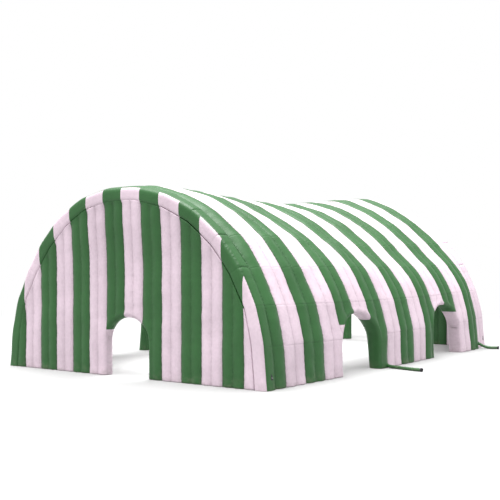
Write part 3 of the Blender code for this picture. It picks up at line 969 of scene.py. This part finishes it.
# ---------------------------------------------------------------- arch tubes
TUBE_CREST = 0.30        # from the front face to the tube's crest
TUBE_POWER = 3.2         # how square the tube's section is, and how square next to the gable
TUBE_POWER_INSIDE = 5.5
BLOCK_ANGLE = math.radians(40)   # the striped panel starts this far round from the crest


def tube_section():
    """(distance behind the face, depth, girth) round the arch tube; girth 0 is the block seam."""
    back = TUBE - GAP / 2
    reach = back - TUBE_CREST
    made = []
    for far in np.linspace(reach, 0, 9)[:-1]:
        made.append((TUBE_CREST + far, COLOUR_SEAM * (far / reach) ** 2))
    for angle in np.linspace(0, math.pi, 33):
        power = TUBE_POWER if angle < math.pi / 2 else TUBE_POWER_INSIDE
        across = abs(math.sin(angle)) ** (2 / power)
        down = math.copysign(abs(math.cos(angle)) ** (2 / power), math.cos(angle))
        made.append((TUBE_CREST * (1 - across), ARCH_TUBE_DEPTH / 2 * (1 - down)))
    for far in np.linspace(0, reach, 7)[1:]:
        made.append((TUBE_CREST + far, ARCH_TUBE_DEPTH - 0.05 * (far / reach) ** 2))
    for deep in np.linspace(ARCH_TUBE_DEPTH - 0.05, COLOUR_SEAM, 5)[1:-1]:
        made.append((back, deep))
    made = np.array(made)
    far = np.concatenate([[0], np.cumsum(np.hypot(*np.diff(made, axis=0).T))])
    start = far[8] + np.interp(BLOCK_ANGLE, np.linspace(0, math.pi, 33), far[8:41] - far[8])
    girth = far - start
    girth[girth > far[40] - start] = -0.05
    return made, girth


def make_arch_tube(end):
    section, girth = tube_section()
    s, back = np.meshgrid(panel_rows(), section[:, 0], indexing="ij")
    depth = np.repeat(section[None, :, 1], len(s), 0)
    round_it = np.repeat(girth[None, :], len(s), 0)
    joint = joint_distance(s)
    # The fabric's joints show on the roof side of the tube and fade out on its face.
    on_face = smooth(round_it, 0.0, 0.12)
    joint = joint + 0.25 * on_face
    push = 0.008 * np.exp(-(joint / 0.016) ** 2) + 0.007 * np.exp(-(round_it / 0.014) ** 2)
    push = push + 0.006 * ripple(back * 2, s, 1.4, 21) * smooth(s, 0.0, 0.8)
    for at, deep in creases():
        push = push + deep * np.exp(-((s - at) / 0.030) ** 2) * (1 - 0.75 * on_face)
    # Each push is towards the middle of the tube's section.
    centre = np.array([TUBE_CREST, ARCH_TUBE_DEPTH / 2])
    inward = centre - np.stack([back, depth], -1)
    inward /= np.linalg.norm(inward, axis=-1)[..., None]
    push = np.where(back > TUBE - 0.02, 0.0, push)
    back = back + inward[..., 0] * push
    depth = depth + inward[..., 1] * push
    flat = arch(s, ENDS[end] * (FRONT + back), depth)
    lean = lean_at(ENDS[end] * flat[..., 0], flat[..., 2])
    back = back - TUBE_SWELL * smooth(TUBE_CREST - back, 0.0, 0.15)
    back = back - lean * smooth(TUBE_CREST - back, 0.0, 0.32)
    y = ENDS[end] * (FRONT + back)
    outer_share = np.clip(1 - depth / ARCH_TUBE_DEPTH, 0, 1)
    where = arch(s, y, depth - swell_at(s, y) * outer_share)
    where[..., 2] = np.maximum(where[..., 2], CLEAR_OF_FLOOR)
    points, faces = loft(where)
    seam = np.minimum(np.abs(round_it), np.where(back > TUBE_CREST, TUBE - back, 1.0))
    fields = {"seam": seam.ravel(), "joint": joint.ravel(), "along": s.ravel(),
              "girth": round_it.ravel()}
    item = add_mesh(f"{end}_arch_tube_skin", points, faces, FABRIC[f"{end}_tube"], fields=fields)
    finish_cell(item, end == "front", f"{end}_arch_tube")


def creases():
    """(place, depth) of the deeper folds where the shoulders of the arch tube buckle."""
    found = []
    for number, deep in ((3, 0.022), (4, 0.026), (5, 0.018)):
        found.append((KNOTS[number], deep))
        found.append((2 * HALF - KNOTS[number], 0.7 * deep))
        found.append((KNOTS[number] - 0.42, 0.5 * deep))
    return found


for number in range(1, BAND_COUNT + 1):
    make_band(number)
for gable in ("front", "rear"):
    for number in range(1, STRIPE_COUNT + 1):
        make_stripe(gable, number)
    make_arch_tube(gable)


# ---------------------------------------------------------------- sleeves
SLEEVE_RADIUS = 0.0575
SLEEVES = (
    ((6.004, -1.300, 0.085), (6.10, -1.318, 0.083), (6.24, -1.345, 0.074),
     (6.40, -1.380, 0.064), (6.65, -1.440, 0.0585), (6.90, -1.510, 0.0585),
     (7.15, -1.575, 0.0585), (7.42, -1.640, 0.061), (7.66, -1.685, 0.067)),
    ((6.004, 7.720, 0.240), (6.07, 7.728, 0.238), (6.15, 7.740, 0.222),
     (6.27, 7.765, 0.165), (6.39, 7.795, 0.106), (6.51, 7.825, 0.072),
     (6.64, 7.862, 0.0600), (6.79, 7.905, 0.0605), (6.94, 7.948, 0.067)),
)
CUFF_LENGTH = 0.075
CUFF_RADIUS = 0.066
SIDES = 40


def smooth_path(points, count):
    """Evenly spaced points on a Catmull-Rom curve through the given ones."""
    points = np.array(points)
    padded = np.vstack([2 * points[0] - points[1], points, 2 * points[-1] - points[-2]])
    made = []
    for p0, p1, p2, p3 in zip(padded, padded[1:], padded[2:], padded[3:]):
        t = np.linspace(0, 1, 40)[:-1, None]
        made.append(0.5 * (2 * p1 + (p2 - p0) * t + (2 * p0 - 5 * p1 + 4 * p2 - p3) * t * t
                           + (3 * p1 - p0 - 3 * p2 + p3) * t ** 3))
    line = np.vstack([*made, points[-1:]])
    far = np.concatenate([[0], np.cumsum(np.linalg.norm(np.diff(line, axis=0), axis=1))])
    even = np.linspace(0, far[-1], count)
    return np.stack([np.interp(even, far, line[:, i]) for i in range(3)], -1), even


def frames_along(line):
    ahead = np.gradient(line, axis=0)
    ahead /= np.linalg.norm(ahead, axis=1)[:, None]
    side = np.cross(ahead, (0, 0, 1.0))
    side /= np.linalg.norm(side, axis=1)[:, None]
    return ahead, side, np.cross(side, ahead)


def around(centre, side, up, radius, angles):
    """A ring of points round a centre, none of them below the floor."""
    ring = (np.asarray(centre) + np.outer(radius * np.cos(angles), side)
            + np.outer(radius * np.sin(angles), up))
    ring[:, 2] = np.maximum(ring[:, 2], 0.0012)
    return ring


def make_sleeve(k, path):
    line, far = smooth_path(path, 150)
    ahead, side, up = frames_along(line)
    angles = 2 * math.pi * np.arange(SIDES) / SIDES
    rings = []
    for i, distance in enumerate(far):
        left = far[-1] - distance
        folds = 0.030 * np.sin(3 * angles + 9.0 * distance) * math.sin(41 * distance + 5 * k)
        folds += 0.022 * np.sin(5 * angles + 23.0 * distance + k)
        gather = 0.10 * math.exp(-distance / 0.05) + 0.12 * math.exp(-left / 0.04)
        folds += gather * 0.5 * np.sin(11 * angles)
        seam = 0.06 * np.exp(-((angles - math.pi / 2) / 0.09) ** 2)
        radius = SLEEVE_RADIUS * (1 + folds + seam - gather)
        rings.append(around(line[i], side[i], up[i], radius, angles))
    points, faces = loft(rings)
    to_seam = np.tile(np.abs(angles - math.pi / 2) * SLEEVE_RADIUS, len(rings))
    fields = {"seam": to_seam, "joint": np.ones(len(points)), "along": np.repeat(far, SIDES)}
    hose = add_mesh(f"sleeve_{k}_hose", points, faces, FABRIC["green"], fields=fields)
    finish_piece(hose, "tent", "green_fabric", f"sleeve_{k}")
    cuff = make_cuff(k, line[-1], ahead[-1], side[-1], up[-1])
    make_collar(k, line[0])


def make_cuff(k, start, ahead, side, up):
    """A gathered hem: folded webbing round the sleeve's open end, with its mouth drawn in."""
    angles = 2 * math.pi * np.arange(2 * SIDES) / (2 * SIDES)
    # (distance along, share of the radius, whether it is folded)
    profile = ((0.0006, 0.80, 0), (0.003, 0.93, 1), (0.010, 1.00, 1), (0.016, 0.97, 1),
               (0.020, 0.90, 1), (0.024, 0.97, 1), (0.040, 1.00, 1), (0.056, 1.00, 1),
               (0.068, 0.98, 1), (0.0745, 0.93, 1), (0.0745, 0.84, 1), (0.066, 0.78, 1),
               (0.050, 0.74, 1), (0.030, 0.70, 1), (0.028, 0.30, 0))
    rings = []
    for distance, size, folded in profile:
        folds = 0.035 * folded * np.sin(13 * angles + 0.6 * math.sin(3 * distance))
        radius = CUFF_RADIUS * (size + folds * (0.4 + distance / CUFF_LENGTH))
        rings.append(around(start + ahead * distance, side, up, radius, angles))
    cuff = add_mesh(f"sleeve_cuff_{k}_hem", *loft(rings), BLACK_WEBBING)
    return finish_piece(cuff, "tent", "black_webbing", f"sleeve_cuff_{k}")


def wall_x(y, height):
    """Where the right-hand wall's skin stands, on the tube that y falls in."""
    s = float(height_to_s(height, y))
    share = (y - FRONT) / TUBE % 1.0
    lobes = COLOUR_SEAM * (2 * share - 1) ** 2
    return float(arch(s, y, lobes - float(swell_at(s, y)))[0])


def make_collar(k, start):
    """The ring of doubled fabric that joins a sleeve to the wall."""
    skin_x = wall_x(start[1], start[2])
    angles = 2 * math.pi * np.arange(SIDES) / SIDES
    # (distance out of the wall, share of the sleeve's radius)
    profile = ((-0.030, 0.86), (0.004, 1.42), (0.009, 1.46), (0.013, 1.40), (0.015, 1.16),
               (0.026, 1.00), (0.030, 0.94), (0.024, 0.86))
    rings = []
    for out, size in profile:
        radius = SLEEVE_RADIUS * (size + 0.015 * np.sin(9 * angles) * (size > 1.1))
        centre = (skin_x + out, start[1], start[2])
        rings.append(around(centre, (0, 1, 0), (0, 0, 1), radius, angles))
    points, faces = loft(rings)
    count = len(points)
    fields = {"seam": np.full(count, 0.03), "joint": np.ones(count), "along": points[:, 1]}
    collar = add_mesh(f"sleeve_{k}_collar", points, faces, FABRIC["green"], fields=fields)
    finish_piece(collar, "tent", "green_fabric")


for number, route in enumerate(SLEEVES, 1):
    make_sleeve(number, route)


# ---------------------------------------------------------------- ground anchors
ANCHOR_PAD = (0.11, 0.20)
RING_BAR = 0.0040
RING_HALF_WIDTH = 0.028
RING_DROP = 0.046
RING_OUT = 0.015         # the ring's bar stands this far out of the facet
RING_BOW = 0.018         # and its round bow starts this far below the bar
ANCHOR_HEIGHT = 0.42
STRAP = (0.017, 0.0022)  # half its width, and its thickness
STITCH = (0.0030, 0.0008, 0.0007)    # half its length, half its width, and its height


def leg_frame(side, y, height):
    """World matrix on the straight leg: X out of the wall, Y along it, Z up it."""
    up = Vector((-LEG_LEAN / rise_at(y), 0, 1)).normalized()
    out = Vector((up.z, 0, -up.x))
    made = Matrix((out, Vector((0, 1, 0)), up)).transposed().to_4x4()
    made.translation = Vector((WIDTH / 2, y, 0)) + up * height
    if side < 0:
        made = Matrix.Translation((0, 2 * y, 0)) @ Matrix.Rotation(math.pi, 4, "Z") @ made
    return made


def rounded_outline(width, height, radius, steps_each=6):
    made = []
    for turn, (cx, cy) in enumerate(((1, 1), (-1, 1), (-1, -1), (1, -1))):
        for i in range(steps_each + 1):
            angle = math.pi / 2 * (turn + i / steps_each)
            made.append((cx * (width / 2 - radius) + radius * math.cos(angle),
                         cy * (height / 2 - radius) + radius * math.sin(angle)))
    return np.array(made)


def in_frame(matrix, points):
    turn = np.array(matrix.to_3x3())
    return np.asarray(points) @ turn.T + np.array(matrix.translation)


def add_small(name, matrix, part, material, body, slot, *nodes, smooth_shading=False):
    """A small piece on the wall, from points in the wall's own frame."""
    points, faces = part
    item = add_mesh(name, in_frame(matrix, points), faces, material, smooth_shading)
    finish_piece(item, body, slot, *nodes)


def add_stitches(points, faces, start, stop, out, pitch=0.009):
    """Short thread stitches from start to stop, as (y, z) in the anchor's frame."""
    half, thin, high = STITCH
    start, stop = np.array(start), np.array(stop)
    run = stop - start
    length = np.linalg.norm(run)
    run /= length
    across = np.array([-run[1], run[0]])
    for i in range(int(length / pitch)):
        middle = start + run * (i + 0.5) * pitch
        thread = []
        for level, size in ((0.0, 1.0), (high, 0.6)):
            for u, v in ((-1, -1), (1, -1), (1, 1), (-1, 1)):
                at = middle + size * (run * u * half + across * v * thin)
                thread.append((out + level, at[0], at[1]))
        add_part(points, faces, (thread, BOX_FACES))


def make_anchor(corner, side, y):
    matrix = leg_frame(side, y, ANCHOR_HEIGHT)
    outline = rounded_outline(*ANCHOR_PAD, 0.018)
    shrunk = rounded_outline(ANCHOR_PAD[0] - 0.004, ANCHOR_PAD[1] - 0.004, 0.016)
    points, faces = [], []
    add_part(points, faces, loft([[(out, p[0], p[1]) for p in line] for out, line in
                                  ((-0.012, outline), (0.0036, outline), (0.0050, shrunk))]))
    # The webbing comes down the pad, round the ring's bar and up behind itself.
    half, thick = STRAP
    path = [(0.0060, 0.070), (0.0062, 0.045), (0.0068, 0.022), (0.0085, 0.010)]
    path += [(RING_OUT + 0.0068 * math.cos(a), 0.0068 * math.sin(a))
             for a in np.linspace(math.radians(160), math.radians(400), 12)]
    path += [(0.0125, 0.018), (0.0092, 0.034), (0.0086, 0.050)]
    path = np.array(path)
    ahead = np.gradient(path, axis=0)
    ahead /= np.linalg.norm(ahead, axis=1)[:, None]
    normal = np.stack([-ahead[:, 1], ahead[:, 0]], -1)
    rings = []
    for p, n in zip(path, normal):
        ring = []
        for across, off in ((-half, -0.5), (half, -0.5), (half + 0.0006, 0.0), (half, 0.5),
                            (-half, 0.5), (-half - 0.0006, 0.0)):
            at = p + n * thick * off
            ring.append((at[0], across, at[1]))
        rings.append(ring)
    add_part(points, faces, loft(rings))
    w, h = ANCHOR_PAD[0] / 2 - 0.008, ANCHOR_PAD[1] / 2 - 0.008
    corners = [(-w, -h), (w, -h), (w, h), (-w, h)]
    for start, stop in zip(corners, corners[1:] + corners[:1]):
        add_stitches(points, faces, start, stop, 0.0050)
    for start, stop in (((-0.013, 0.024), (0.013, 0.066)), ((0.013, 0.024), (-0.013, 0.066))):
        add_stitches(points, faces, start, stop, 0.0100)
    add_small(f"anchor_pad_{corner}", matrix, (points, faces), BLACK_WEBBING,
              "tent", "black_webbing", f"anchor_patch_{corner}")
    make_ring(corner, matrix @ Matrix.Translation((RING_OUT, 0, 0)))


def make_ring(corner, matrix):
    """A welded D-ring: a straight bar through the webbing and a round bow."""
    line = [(0, RING_HALF_WIDTH * f, 0) for f in np.linspace(0.84, -0.84, 9)]
    reach = 0.16 * RING_HALF_WIDTH
    bend = [(0, -RING_HALF_WIDTH + reach * (1 - math.sin(a)), -reach * (1 - math.cos(a)))
            for a in np.linspace(0, math.pi / 2, 5)[1:]]
    line += bend
    line += [(0, -RING_HALF_WIDTH * math.cos(a), -RING_BOW - (RING_DROP - RING_BOW) * math.sin(a))
             for a in np.linspace(0, math.pi, 25)]
    line = np.array(line + [(0, -y, z) for _, y, z in reversed(bend)])
    count = len(line)
    ahead = np.roll(line, -1, 0) - np.roll(line, 1, 0)
    ahead /= np.linalg.norm(ahead, axis=1)[:, None]
    side = np.cross(ahead, (1.0, 0, 0))
    angles = 2 * math.pi * np.arange(16) / 16
    weld = 1 + 0.16 * np.exp(-((np.arange(count) - 26) / 0.9) ** 2)
    rings = [line[i] + RING_BAR * weld[i] * (np.cos(angles)[:, None] * np.array((1.0, 0, 0))
                                             + np.sin(angles)[:, None] * side[i])
             for i in range(count)]
    index = np.arange(count * 16).reshape(count, 16)
    after, above = np.roll(index, -1, 1), np.roll(index, -1, 0)
    faces = np.stack([index, after, np.roll(after, -1, 0), above], -1).reshape(-1, 4).tolist()
    add_small(f"anchor_d_ring_{corner}", matrix, (np.concatenate(rings), faces), STEEL,
              f"ring_{corner}", "steel", f"anchor_ring_{corner}", smooth_shading=True)


anchor_y = LENGTH / 2 - 0.285
for name, wall_side, at in (("front_right", 1, -anchor_y), ("front_left", -1, -anchor_y),
                            ("rear_right", 1, anchor_y), ("rear_left", -1, anchor_y)):
    make_anchor(name, wall_side, at)


# ---------------------------------------------------------------- air release zip
TOOTH_PITCH = 0.0065
SLIDER_REST = (0.0106, 0.035)    # out of the wall, and up from the zip's lower end


def add_box(points, faces, low, high, shrink=0.0):
    """A box whose outer face is smaller than its inner one by shrink on every side."""
    corners = []
    for level, cut in ((low[0], 0.0), (high[0], shrink)):
        for y, z in ((low[1] + cut, low[2] + cut), (high[1] - cut, low[2] + cut),
                     (high[1] - cut, high[2] - cut), (low[1] + cut, high[2] - cut)):
            corners.append((level, y, z))
    add_part(points, faces, (corners, BOX_FACES))


def make_zip():
    matrix = leg_frame(-1, ZIP_Y, ZIP_START)
    # Two woven tapes, thicker at the cord that holds the teeth.
    profile = ((0.030, -0.003), (0.030, 0.0016), (0.0275, 0.0024), (0.010, 0.0026),
               (0.0062, 0.0042), (0.0030, 0.0040), (0.0022, 0.0016), (0.0022, -0.003))
    points, faces = [], []
    for hand in (-1, 1):
        rings = []
        for z in np.linspace(0, ZIP_LENGTH, 60):
            sway = 0.0006 * math.sin(19 * z + hand)
            rings.append([(out + 0.001, hand * (across + sway), z) for across, out in profile])
        add_part(points, faces, loft(rings))
        for row in (0.014, 0.026):
            add_stitches(points, faces, (hand * row, 0.006), (hand * row, ZIP_LENGTH - 0.006),
                         0.0035, 0.011)
    for stop in (0.0, ZIP_LENGTH - 0.022):
        add_box(points, faces, (0.001, -0.026, stop), (0.0046, 0.026, stop + 0.022), 0.001)
    add_small("release_zip_tape", matrix, (points, faces), BLACK_WEBBING,
              "tent", "black_webbing", "release_zip")
    points, faces = [], []
    for i in range(int((ZIP_LENGTH - 0.05) / TOOTH_PITCH)):
        z = 0.025 + i * TOOTH_PITCH
        hand = 1 if i % 2 else -1
        low_y, high_y = sorted((hand * 0.0052, -hand * 0.0022))
        add_box(points, faces, (0.0022, low_y, z), (0.0052, high_y, z + 0.0042), 0.0006)
    add_small("release_zip_teeth", matrix, (points, faces), BLACK_WEBBING,
              "tent", "black_webbing")
    make_slider(matrix)


def make_slider(matrix):
    """The slider's body, its bridge and the pull that hangs from it."""
    out, up = SLIDER_REST
    points, faces = [], []
    plan = ((-0.017, 0.0062), (-0.012, 0.0088), (0.002, 0.0100), (0.012, 0.0096), (0.017, 0.0070))
    outline = [(half, z) for z, half in plan] + [(-half, z) for z, half in reversed(plan)]
    for low, high in ((-0.0048, -0.0030), (0.0008, 0.0030)):
        levels = ((low, 0.94), (low + 0.0004, 1.0), (high - 0.0004, 1.0), (high, 0.92))
        rings = [[(level, a * cut, z * cut) for a, z in outline] for level, cut in levels]
        add_part(points, faces, loft(rings))
    add_box(points, faces, (-0.0034, -0.0016, 0.006), (0.0012, 0.0016, 0.015))
    bridge = [(0.0024, 0.012), (0.0048, 0.010), (0.0058, 0.004), (0.0054, -0.003), (0.0024, -0.006)]
    half, thick, rise = 0.0024, 0.0016, 0.0004
    add_part(points, faces, loft([[(x, half, z), (x, -half, z), (x + thick, -half, z + rise),
                                   (x + thick, half, z + rise)] for x, z in bridge]))
    # The pull: a flat tab with a slot at its foot.
    outer = rounded_outline(0.0125, 0.046, 0.0045)
    slot = rounded_outline(0.0055, 0.012, 0.0024)
    count = len(outer)
    shape = []
    for x in (0.0040, 0.0066):
        shape += [(x, p[0], p[1] - 0.027) for p in outer]
        shape += [(x, p[0], p[1] - 0.040) for p in slot]
    first = len(points)
    points += shape
    for i in range(count):
        j = (i + 1) % count
        back_out, back_in, front_out, front_in = (first + count * m for m in range(4))
        faces.append([back_out + i, back_out + j, back_in + j, back_in + i])
        faces.append([front_out + i, front_in + i, front_in + j, front_out + j])
        faces.append([back_out + i, front_out + i, front_out + j, back_out + j])
        faces.append([back_in + i, back_in + j, front_in + j, front_in + i])
    add_small("zip_slider_and_pull", matrix @ Matrix.Translation((out, 0, up)), (points, faces),
              STEEL, "zip_slider", "steel", "zip_slider")


make_zip()
